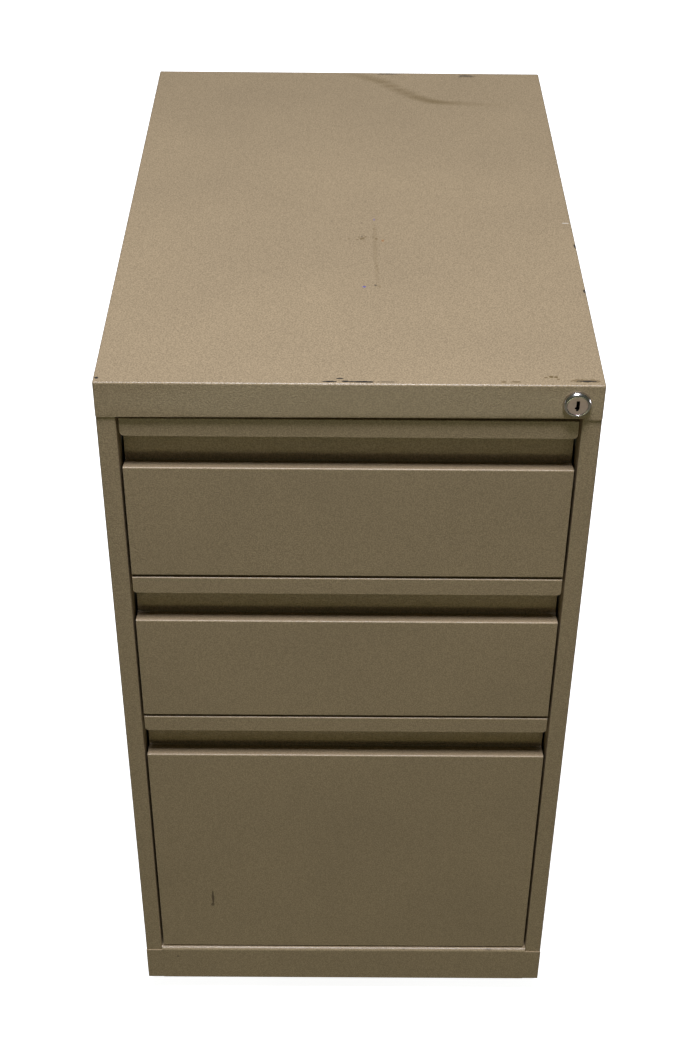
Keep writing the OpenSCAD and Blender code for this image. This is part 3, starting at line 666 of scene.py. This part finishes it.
# Faint stains in a cross near the middle, with specks round them.
for x, y, half_x, half_y, strength, ink, ragged in (
        (21.6, 215, 2.2, 50, 0.16, STAIN, 1.4), (22.6, 170, 2.0, 26, 0.14, STAIN, 1.6),
        (6.7, 225.2, 1.2, 1.7, 0.60, STAIN, 1.2), (8.1, 229.8, 1.2, 1.5, 0.45, STAIN, 1.2),
        (10.9, 227.2, 2.6, 2.6, 0.70, STAIN, 1.8), (10.5, 231.6, 1.1, 1.4, 0.55, BARE_EDGE, 0.8),
        (13.6, 230.2, 1.6, 1.5, 0.50, STAIN, 1.4), (12.7, 223.3, 1.1, 1.3, 0.40, STAIN, 1.0),
        (22.8, 227.2, 1.5, 1.8, 0.65, STAIN, 1.0), (20.3, 230.6, 1.3, 1.5, 0.35, STAIN, 1.2),
        (-0.5, 227.2, 1.8, 1.5, 0.35, STAIN, 1.4), (-7.3, 226.6, 1.3, 1.5, 0.28, STAIN, 1.0),
        (-14.3, 225.8, 1.3, 1.3, 0.20, STAIN, 1.0), (28.1, 224.0, 1.6, 2.3, 0.60, RUST, 1.0),
        (20.5, 245.0, 1.0, 1.8, 0.35, STAIN, 0.8), (22.4, 179.8, 1.2, 1.6, 0.40, STAIN, 0.8),
        (23.3, 174.5, 1.2, 1.4, 0.35, STAIN, 0.8), (21.0, 148.0, 1.5, 1.4, 0.85, BARE_EDGE, 0.8),
        (24.5, 145.6, 1.2, 2.6, 0.40, STAIN, 1.0), (21.2, 262.0, 0.9, 2.2, 0.45, BALLPOINT, 0.8),
        (10.6, 255.6, 1.0, 1.4, 0.50, BARE_EDGE, 0.8), (-14.9, 257.8, 1.2, 1.6, 0.30, BARE_EDGE, 0.8),
        (14.0, 295.0, 1.2, 1.8, 0.25, BARE_EDGE, 0.8), (12.0, 145.3, 2.0, 1.3, 0.80, BALLPOINT, 0.6)):
    cap_wear_and_painted_light.append(on_top(x, y, half_x, half_y, strength, ink, ragged, 520.0, 0.45))
# Paint is knocked off along the front edge, at the corners and on the right edge.
for x, y, half_x, half_y, strength, ink, ragged in (
        (-15, 3.4, 6.0, 1.0, 1.0, BARE_EDGE, 1.2), (-3, 3.8, 4.0, 1.1, 1.0, BARE_EDGE, 1.2),
        (10, 3.3, 11.0, 1.1, 1.0, BARE_EDGE, 1.4), (-7.3, 7.6, 3.2, 0.9, 0.9, BARE_EDGE, 0.8),
        (28, 3.4, 7.0, 0.9, 0.5, BARE_EDGE, 2.0), (114.5, 4.4, 2.4, 1.0, 0.80, STAIN, 0.8),
        (124, 4.6, 4.4, 0.9, 0.85, STAIN, 1.2), (146.5, 10.8, 1.4, 1.0, 0.75, STAIN, 0.8),
        (150.5, 12.0, 1.8, 1.3, 0.95, STAIN, 0.8), (154.0, 11.6, 1.6, 1.2, 0.95, STAIN, 0.8),
        (155.5, 8.8, 1.2, 0.9, 0.80, STAIN, 0.8), (175, 6.4, 11.0, 2.6, 0.60, STAIN, 2.4),
        (176.5, 6.2, 6.5, 1.3, 0.90, BARE_EDGE, 1.8), (-187.6, 6.2, 1.7, 1.5, 0.95, BARE_EDGE, 1.0),
        (185.4, 258, 3.5, 1.0, 0.55, RUBBED, 0.8), (189.4, 216.6, 1.4, 3.4, 0.85, BARE_EDGE, 1.2),
        (189.2, 140.5, 1.5, 3.2, 0.85, BARE_EDGE, 1.2), (117, 573.5, 9.0, 3.0, 0.55, BARE_EDGE, 1.6),
        (39, 577, 12.0, 2.0, 0.40, BARE_EDGE, 1.6)):
    cap_wear_and_painted_light.append(on_top(x, y, half_x, half_y, strength, ink, ragged, 420.0, 0.15))

low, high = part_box("top_cap")
lock_low, lock_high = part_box("lock_plug")
lock_at = Vector(((lock_low.x + lock_high.x) / 2, low.y, (lock_low.z + lock_high.z) / 2))
bm = bmesh.new()
bmesh.ops.create_cube(bm, size=1.0, matrix=Matrix.LocRotScale((low + high) / 2, None, high - low))
bmesh.ops.delete(bm, geom=[f for f in bm.faces if f.normal.z < -0.5], context="FACES")
outline = [e for e in bm.edges if not e.is_boundary]
bmesh.ops.bevel(bm, geom=outline, offset=CAP_R, offset_type="OFFSET", affect="EDGES", segments=6,
                profile=0.5, material=-1, clamp_overlap=False)
apron = max((f for f in bm.faces if f.normal.y < -0.999), key=lambda f: f.calc_area())
foot = next(e for e in apron.edges if e.is_boundary and abs(e.verts[0].co.z - low.z) < NEAR
            and abs(e.verts[1].co.z - low.z) < NEAR)
ends = sorted(foot.verts, key=lambda v: v.co.x)
span = ends[1].co.x - ends[0].co.x
bmesh.utils.edge_split(foot, ends[0], (-post_in - ends[0].co.x) / span)
rest = next(e for e in ends[1].link_edges if e.is_boundary
            and abs(e.other_vert(ends[1]).co.z - low.z) < NEAR
            and abs(e.other_vert(ends[1]).co.y - low.y) < NEAR)
bmesh.utils.edge_split(rest, ends[1], (ends[1].co.x - post_in) / (ends[1].co.x + post_in))
hole = circle(bm, LOCK_HOLE_R, lock_at, "-y", 64)
refill(bm, apron, [{e for v in hole for e in v.link_edges}])
lip = [e for e in bm.edges if e.is_boundary and all(
    abs(v.co.z - low.z) < NEAR and abs(v.co.y - low.y) < NEAR and abs(v.co.x) < post_in + NEAR
    for v in e.verts)]
turned_in = bmesh.ops.extrude_edge_only(bm, edges=lip)["geom"]
bmesh.ops.translate(bm, verts=[g for g in turned_in if isinstance(g, bmesh.types.BMVert)],
                    vec=(0, CAP_LIP, 0))
bm.normal_update()
bmesh.ops.reverse_faces(bm, faces=[g for g in turned_in
                                   if isinstance(g, bmesh.types.BMFace) and g.normal.z > 0])
bmesh.ops.bevel(bm, geom=lip, offset=LIP_R, offset_type="OFFSET", affect="EDGES", segments=4, profile=0.5,
                material=-1, clamp_overlap=False)
# The top's coat carries real wear, stains and chips, and also painted light and shade: the lighter apron and
# the dark crease line.
worn_and_painted_light_paint = powder_coat("tan_powder_coat_worn_top_and_painted_light", cap_wear_and_painted_light)
cap = sheet_piece("top_cap_sheet", bm, SHEET, worn_and_painted_light_paint)
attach(cap, "case")
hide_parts("top_cap")


# ---------------------------------------------------------------------------------------------------
# Lock: a cam lock through the apron at the right. Chromed zinc barrel with a domed bezel, a plug with a
# stepped key slot, a staked cam, and a slotted bar in nylon guides that blocks all three drawers.

NOSE = 4 * MM
BEZEL_R = 10.8 * MM
BARREL_R = 9.5 * MM
BARREL_L = 22 * MM
HEAD_BORE = 7.85 * MM
PLUG_BORE = 6.05 * MM
HEAD_SEAT = 1.0 * MM
HEAD_R = 7.75 * MM
PLUG_R = 5.95 * MM
# The key slot's outline, in millimetres from the plug's axis.
KEYWAY = [(-1.0, 4.4), (1.4, 4.4), (1.4, -2.3), (0.7, -4.3), (-0.8, -4.3), (-0.8, -2.9), (-1.9, -2.4),
          (-1.9, -1.2), (-1.0, -0.8)]
KEYWAY_DEPTH = 9.5 * MM
KEYWAY_REACH = 5.5 * MM


def chromed(name, dull, bright, haze_low, haze_high):
    """Bright or worn plate with hairline scratches and a film of finger grease."""
    material, tree, shader, place = new_material(name)
    shader.inputs["Metallic"].default_value = 1.0
    film = node(tree, "ShaderNodeTexNoise", {"Vector": place, "Scale": 260.0, "Detail": 4.0})
    tree.links.new(mixed(tree, "RGBA", film.outputs["Fac"], dull, bright),
                   shader.inputs["Base Color"])
    haze = node(tree, "ShaderNodeMapRange", {"Value": film.outputs["Fac"], "To Min": haze_high,
                                             "To Max": haze_low})
    tree.links.new(haze.outputs["Result"], shader.inputs["Roughness"])
    hair = node(tree, "ShaderNodeTexNoise", {"Vector": place, "Scale": 2600.0, "Detail": 2.0})
    fine = node(tree, "ShaderNodeBump", {"Height": hair.outputs["Fac"], "Strength": 0.08,
                                         "Distance": 0.05 * MM})
    tree.links.new(fine.outputs["Normal"], shader.inputs["Normal"])
    return material


chrome = chromed("lock_chrome_plate", (0.50, 0.47, 0.45, 1.0), (0.72, 0.68, 0.66, 1.0), 0.16, 0.28)
plug_face = chromed("worn_plug_plate", (0.56, 0.43, 0.44, 1.0), (0.80, 0.64, 0.64, 1.0), 0.34, 0.50)
# Painted shade: a near-black plate for the key slot's inner walls, standing in for the shadow deep inside the
# slot.
slot_painted_shade = chromed("keyway_painted_shade_black", (0.015, 0.012, 0.010, 1.0), (0.030, 0.025, 0.020, 1.0), 0.50, 0.70)
barrel = turned("lock_barrel_and_bezel", [
    (-BARREL_L, PLUG_BORE), (-BARREL_L, BARREL_R), (0, BARREL_R), (0, BEZEL_R), (0.30 * NOSE, BEZEL_R),
    (0.52 * NOSE, BEZEL_R - 0.25 * MM), (0.72 * NOSE, BEZEL_R - 0.75 * MM), (0.88 * NOSE, BEZEL_R - 1.35 * MM),
    (0.97 * NOSE, BEZEL_R - 2.0 * MM), (NOSE, BEZEL_R - 2.4 * MM), (0.96 * NOSE, HEAD_BORE + 0.12 * MM),
    (0.90 * NOSE, HEAD_BORE), (HEAD_SEAT, HEAD_BORE), (HEAD_SEAT, PLUG_BORE)],
    lock_at, "-y", chrome, edge=0.06 * MM)
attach(barrel, "case")
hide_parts("lock_barrel")

head_back = HEAD_SEAT + 0.1 * MM
PLUG_STEPS = [(0.85 * NOSE, HEAD_R), (head_back, HEAD_R), (head_back, PLUG_R), (-BARREL_L - 0.5 * MM, PLUG_R)]
face_y = lock_at.y - PLUG_STEPS[0][0]
bm = bmesh.new()
ring = circle(bm, PLUG_STEPS[0][1], (lock_at.x, face_y, lock_at.z), "-y", 64)
edge_now = list({e for v in ring for e in v.link_edges})
slot_verts = [bm.verts.new((lock_at.x + x * MM, face_y, lock_at.z + z * MM)) for x, z in KEYWAY]
slot_edges = [bm.edges.new((a, b)) for a, b in zip(slot_verts, slot_verts[1:] + slot_verts[:1])]
bmesh.ops.triangle_fill(bm, use_beauty=True, use_dissolve=False, edges=edge_now + slot_edges,
                        normal=(0, -1, 0))
for (_, radius), (depth, next_radius) in zip(PLUG_STEPS, PLUG_STEPS[1:]):
    grown = bmesh.ops.extrude_edge_only(bm, edges=edge_now)["geom"]
    for v in (g for g in grown if isinstance(g, bmesh.types.BMVert)):
        v.co = Vector((lock_at.x + (v.co.x - lock_at.x) * next_radius / radius, lock_at.y - depth,
                       lock_at.z + (v.co.z - lock_at.z) * next_radius / radius))
    edge_now = [g for g in grown if isinstance(g, bmesh.types.BMEdge)]
bmesh.ops.edgeloop_fill(bm, edges=edge_now)
sunk = bmesh.ops.extrude_edge_only(bm, edges=slot_edges)["geom"]
bmesh.ops.translate(bm, verts=[g for g in sunk if isinstance(g, bmesh.types.BMVert)],
                    vec=(0, KEYWAY_DEPTH, 0))
bmesh.ops.edgeloop_fill(bm, edges=[g for g in sunk if isinstance(g, bmesh.types.BMEdge)])
bmesh.ops.recalc_face_normals(bm, faces=bm.faces)
# The slot's inner walls take the near-black painted-shade material.
for face in bm.faces:
    if all((v.co.x - lock_at.x) ** 2 + (v.co.z - lock_at.z) ** 2 < KEYWAY_REACH ** 2 for v in face.verts) \
            and max(v.co.y for v in face.verts) > face_y + 0.5 * MM:
        face.material_index = 1
plug = finished("lock_plug_with_keyway", bm, plug_face, 0.18 * MM, 30)
plug.data.materials.append(slot_painted_shade)
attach(plug, "lock")
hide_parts("lock_plug")
cam = eased_copy("lock_cam_and_pin", "lock_cam", zinc_plate, 0.25 * MM)
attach(cam, "lock")
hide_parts("lock_cam")
nut = eased_copy("lock_barrel_nut", "lock_nut", zinc_plate, 0.4 * MM)
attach(nut, "case")
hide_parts("lock_nut")
bar = eased_copy("lock_bar_with_lugs", "lock_bar", zinc_plate, 0.2 * MM)
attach(bar, "locking_bar")
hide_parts("lock_bar")
guides = eased_copy("lock_bar_guide_blocks", "lock_bar_guides", cast_primer(
    "natural_nylon", (0.74, 0.71, 0.62, 1.0), 0.42, 900.0, 0.08 * MM), 0.4 * MM)
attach(guides, "case")
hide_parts("lock_bar_guides")


# ---------------------------------------------------------------------------------------------------
# Drawers. Each front is one sheet: a flange to hook the fingers behind, the back of the pull, a ledge
# that rises to the face, and a return along the bottom. A liner closes its back, and the box behind it
# is a folded trough with hemmed rims and a flanged back.

FLANGE_H = 16 * MM
FLANGE_CORNER_R = 3.3 * MM
PULL_DROP = 45.5 * MM
LEDGE_FALL = 5 * MM
FRONT_RETURN = 12 * MM
BOX_T = 0.8 * MM
HEM = 8 * MM
BACK_FLANGE = 10 * MM
FRONT_FOLDS = [0.9 * MM, 1.6 * MM, 2.6 * MM, 0.15 * MM, 0.3 * MM]
HEM_R = 0.8 * MM
BOX_R = 1.4 * MM
GAP = 0.05 * MM

DRIP = (0.060, 0.034, 0.018, 1.0)
file_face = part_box("file_drawer_front")[0].y
file_marks = [
    (DRIP, 0.80, (-123.5 * MM, file_face, 136 * MM), (1.3 * MM, 2.5 * MM, 11 * MM), 0.7, 260.0, 0.35),
    (DRIP, 0.70, (-123.9 * MM, file_face, 126 * MM), (1.9 * MM, 2.5 * MM, 2.6 * MM), 0.5, 300.0, 0.35),
]
fronts_paint = {"top": plain_paint, "middle": plain_paint,
                "file": powder_coat("tan_powder_coat_with_drip", file_marks)}

for tier in ("top", "middle", "file"):
    body = f"{tier}_drawer"
    low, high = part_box(f"{tier}_drawer_front")
    face, back_of_pull = low.y, high.y
    hook = high.z - FLANGE_H
    ledge = high.z - PULL_DROP
    bm = bmesh.new()
    fold(bm, [(face, hook), (face, high.z), (back_of_pull, high.z),
              (back_of_pull, ledge - LEDGE_FALL - SHEET), (face + SHEET, ledge - SHEET),
              (face + SHEET, low.z + SHEET), (face + FRONT_RETURN, low.z + SHEET)],
         "x", low.x, high.x, FRONT_FOLDS)
    for corner in [v for v in bm.verts if abs(v.co.z - hook) < NEAR and abs(v.co.y - face) < NEAR]:
        bmesh.ops.bevel(bm, geom=[corner], offset=FLANGE_CORNER_R, offset_type="OFFSET", affect="VERTICES",
                        segments=6, profile=0.5, material=-1, clamp_overlap=False)
    front = sheet_piece(f"{tier}_drawer_front_sheet", bm, SHEET, fronts_paint[tier])
    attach(front, body)
    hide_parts(f"{tier}_drawer_front")

    low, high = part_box(f"{tier}_drawer_liner")
    cheek_top = ledge - LEDGE_FALL - 4 * MM
    bm = bmesh.new()
    fold(bm, [(low.x, low.y), (low.x, high.y), (high.x, high.y), (high.x, low.y)], "z", low.z, high.z,
         [BOX_T + 0.4 * MM] * 2)
    bmesh.ops.bisect_plane(bm, geom=bm.verts[:] + bm.edges[:] + bm.faces[:], dist=0.0001 * MM,
                           plane_co=(0, 0, cheek_top), plane_no=(0, 0, 1))
    cheeks = [f for f in bm.faces if f.calc_center_median().z > cheek_top
              and f.calc_center_median().y < high.y - NEAR]
    bmesh.ops.delete(bm, geom=cheeks, context="FACES")
    liner = sheet_piece(f"{tier}_drawer_liner_sheet", bm, BOX_T, plain_paint, edge=0.12 * MM)
    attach(liner, body)
    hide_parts(f"{tier}_drawer_liner")

    low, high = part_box(f"{tier}_drawer_box")
    hem_x = high.x - 2 * BOX_T - GAP
    trough = [(hem_x, high.z - HEM), (hem_x, high.z), (high.x, high.z), (high.x, low.z), (low.x, low.z),
              (low.x, high.z), (-hem_x, high.z), (-hem_x, high.z - HEM)]
    bm = bmesh.new()
    fold(bm, trough, "y", low.y, high.y - GAP, [HEM_R, HEM_R, BOX_R, BOX_R, HEM_R, HEM_R])
    box = sheet_piece(f"{tier}_drawer_trough", bm, BOX_T, plain_paint, edge=0.12 * MM)
    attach(box, body)
    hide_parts(f"{tier}_drawer_box")
    inside = hem_x - GAP
    bm = bmesh.new()
    fold(bm, [(-inside, high.y - BACK_FLANGE), (-inside, high.y), (inside, high.y),
              (inside, high.y - BACK_FLANGE)], "z", low.z + BOX_T + GAP, high.z - 1.0 * MM, [BOX_R] * 2)
    box_back = sheet_piece(f"{tier}_drawer_back", bm, BOX_T, plain_paint, edge=0.12 * MM)
    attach(box_back, body)
    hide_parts(f"{tier}_drawer_box")

    catch = eased_copy(f"{tier}_drawer_catch_angle", f"{tier}_drawer_catch", zinc_plate, 0.2 * MM)
    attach(catch, body)
    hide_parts(f"{tier}_drawer_catch")

rails = eased_copy("file_hanging_rails", "hanging_rails", zinc_plate, 0.4 * MM)
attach(rails, "file_drawer")
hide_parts("hanging_rails")


# ---------------------------------------------------------------------------------------------------
# Stage: a plain white floor, a soft light overhead, a weak one from the front and one at each side and the
# back below the top's plane, and a long lens from the front and above.

FLOOR_SIZE = 16.0
KEY_SIZE = 0.8
KEY_AT = Vector((0.0, -0.85, 3.2))
KEY_AIM = Vector((0.0, -0.1, 0.5))
KEY_POWER = 95.5
KEY_TINT = (0.93, 0.96, 1.08)
FILL_TINT = (0.93, 1.0, 0.72, 1.0)
FILL_STRENGTH = 0.070
FRONT_AT = Vector((0.0, -2.5, 0.22))
FRONT_AIM = Vector((0.0, -0.29, 0.42))
FRONT_SIZE = 2.0
FRONT_DEEP = 0.4
FRONT_TINT = (0.97, 1.0, 0.60)
FRONT_POWER = 4.8
SIDE_POWER = 17.0
SIDE_WIDE, SIDE_DEEP = 1.6, 0.5
SIDE_Z = 0.30
BOUNCE = (0.17, 0.158, 0.11, 1.0)
LENS = 59.14
SENSOR = 36.0
CAMERA_AT = (-0.0061, -1.3663, 1.4003)
PITCH, ROLL, YAW = math.radians(52.73), math.radians(0.64), math.radians(-0.41)

paper = bpy.data.materials.new("white_paper")
paper.use_nodes = True
tree = paper.node_tree
shader = tree.nodes["Principled BSDF"]
shader.inputs["Roughness"].default_value = 0.9
seen = node(tree, "ShaderNodeLightPath").outputs["Is Camera Ray"]
tree.links.new(mixed(tree, "RGBA", seen, BOUNCE, (0.95, 0.95, 0.95, 1.0)), shader.inputs["Base Color"])
shader.inputs["Emission Color"].default_value = (1.0, 1.0, 1.0, 1.0)
tree.links.new(mixed(tree, "FLOAT", seen, 0.0, 0.92), shader.inputs["Emission Strength"])
bm = bmesh.new()
bmesh.ops.create_grid(bm, x_segments=1, y_segments=1, size=FLOOR_SIZE / 2)
floor = placed("studio_floor", bm, paper)

world = bpy.data.worlds.new("studio_world")
bpy.context.scene.world = world
world.use_nodes = True
tree = world.node_tree
backdrop = tree.nodes["Background"]
seen = node(tree, "ShaderNodeLightPath").outputs["Is Camera Ray"]
tree.links.new(mixed(tree, "RGBA", seen, FILL_TINT, (1.0, 1.0, 1.0, 1.0)), backdrop.inputs["Color"])
tree.links.new(mixed(tree, "FLOAT", seen, FILL_STRENGTH, 1.0), backdrop.inputs["Strength"])

LIGHTS = [
    ("overhead_softbox", KEY_SIZE, KEY_SIZE, KEY_POWER, KEY_TINT, KEY_AT, KEY_AIM),
    ("front_softbox", FRONT_SIZE, FRONT_DEEP, FRONT_POWER, FRONT_TINT, FRONT_AT, FRONT_AIM),
]
for label, x, y, aim_x, aim_y in (("left", -2.6, 0.5, -0.19, 0.1), ("right", 2.6, 0.5, 0.19, 0.1),
                                  ("back", 0.0, 2.9, 0.0, 0.29)):
    LIGHTS.append((f"{label}_softbox", SIDE_WIDE, SIDE_DEEP, SIDE_POWER, KEY_TINT, Vector((x, y, SIDE_Z)),
                   Vector((aim_x, aim_y, SIDE_Z))))
for label, wide, deep, power, tint, place, aim in LIGHTS:
    lamp = bpy.data.lights.new(label, "AREA")
    lamp.shape = "RECTANGLE"
    lamp.size = wide
    lamp.size_y = deep
    lamp.energy = power
    lamp.color = tint
    softbox = bpy.data.objects.new(label, lamp)
    bpy.context.collection.objects.link(softbox)
    turn = (aim - place).to_track_quat("-Z", "Y").to_matrix().to_4x4()
    softbox.matrix_world = Matrix.Translation(place) @ turn

camera_data = bpy.data.cameras.new("front_camera")
camera_data.lens = LENS
camera_data.sensor_width = SENSOR
camera = bpy.data.objects.new("front_camera", camera_data)
bpy.context.collection.objects.link(camera)
camera.matrix_world = (Matrix.Translation(CAMERA_AT) @ Matrix.Rotation(YAW, 4, "Z")
                       @ Matrix.Rotation(PITCH, 4, "X") @ Matrix.Rotation(ROLL, 4, "Z"))
bpy.context.scene.camera = camera
bpy.context.scene.view_settings.view_transform = "Standard"
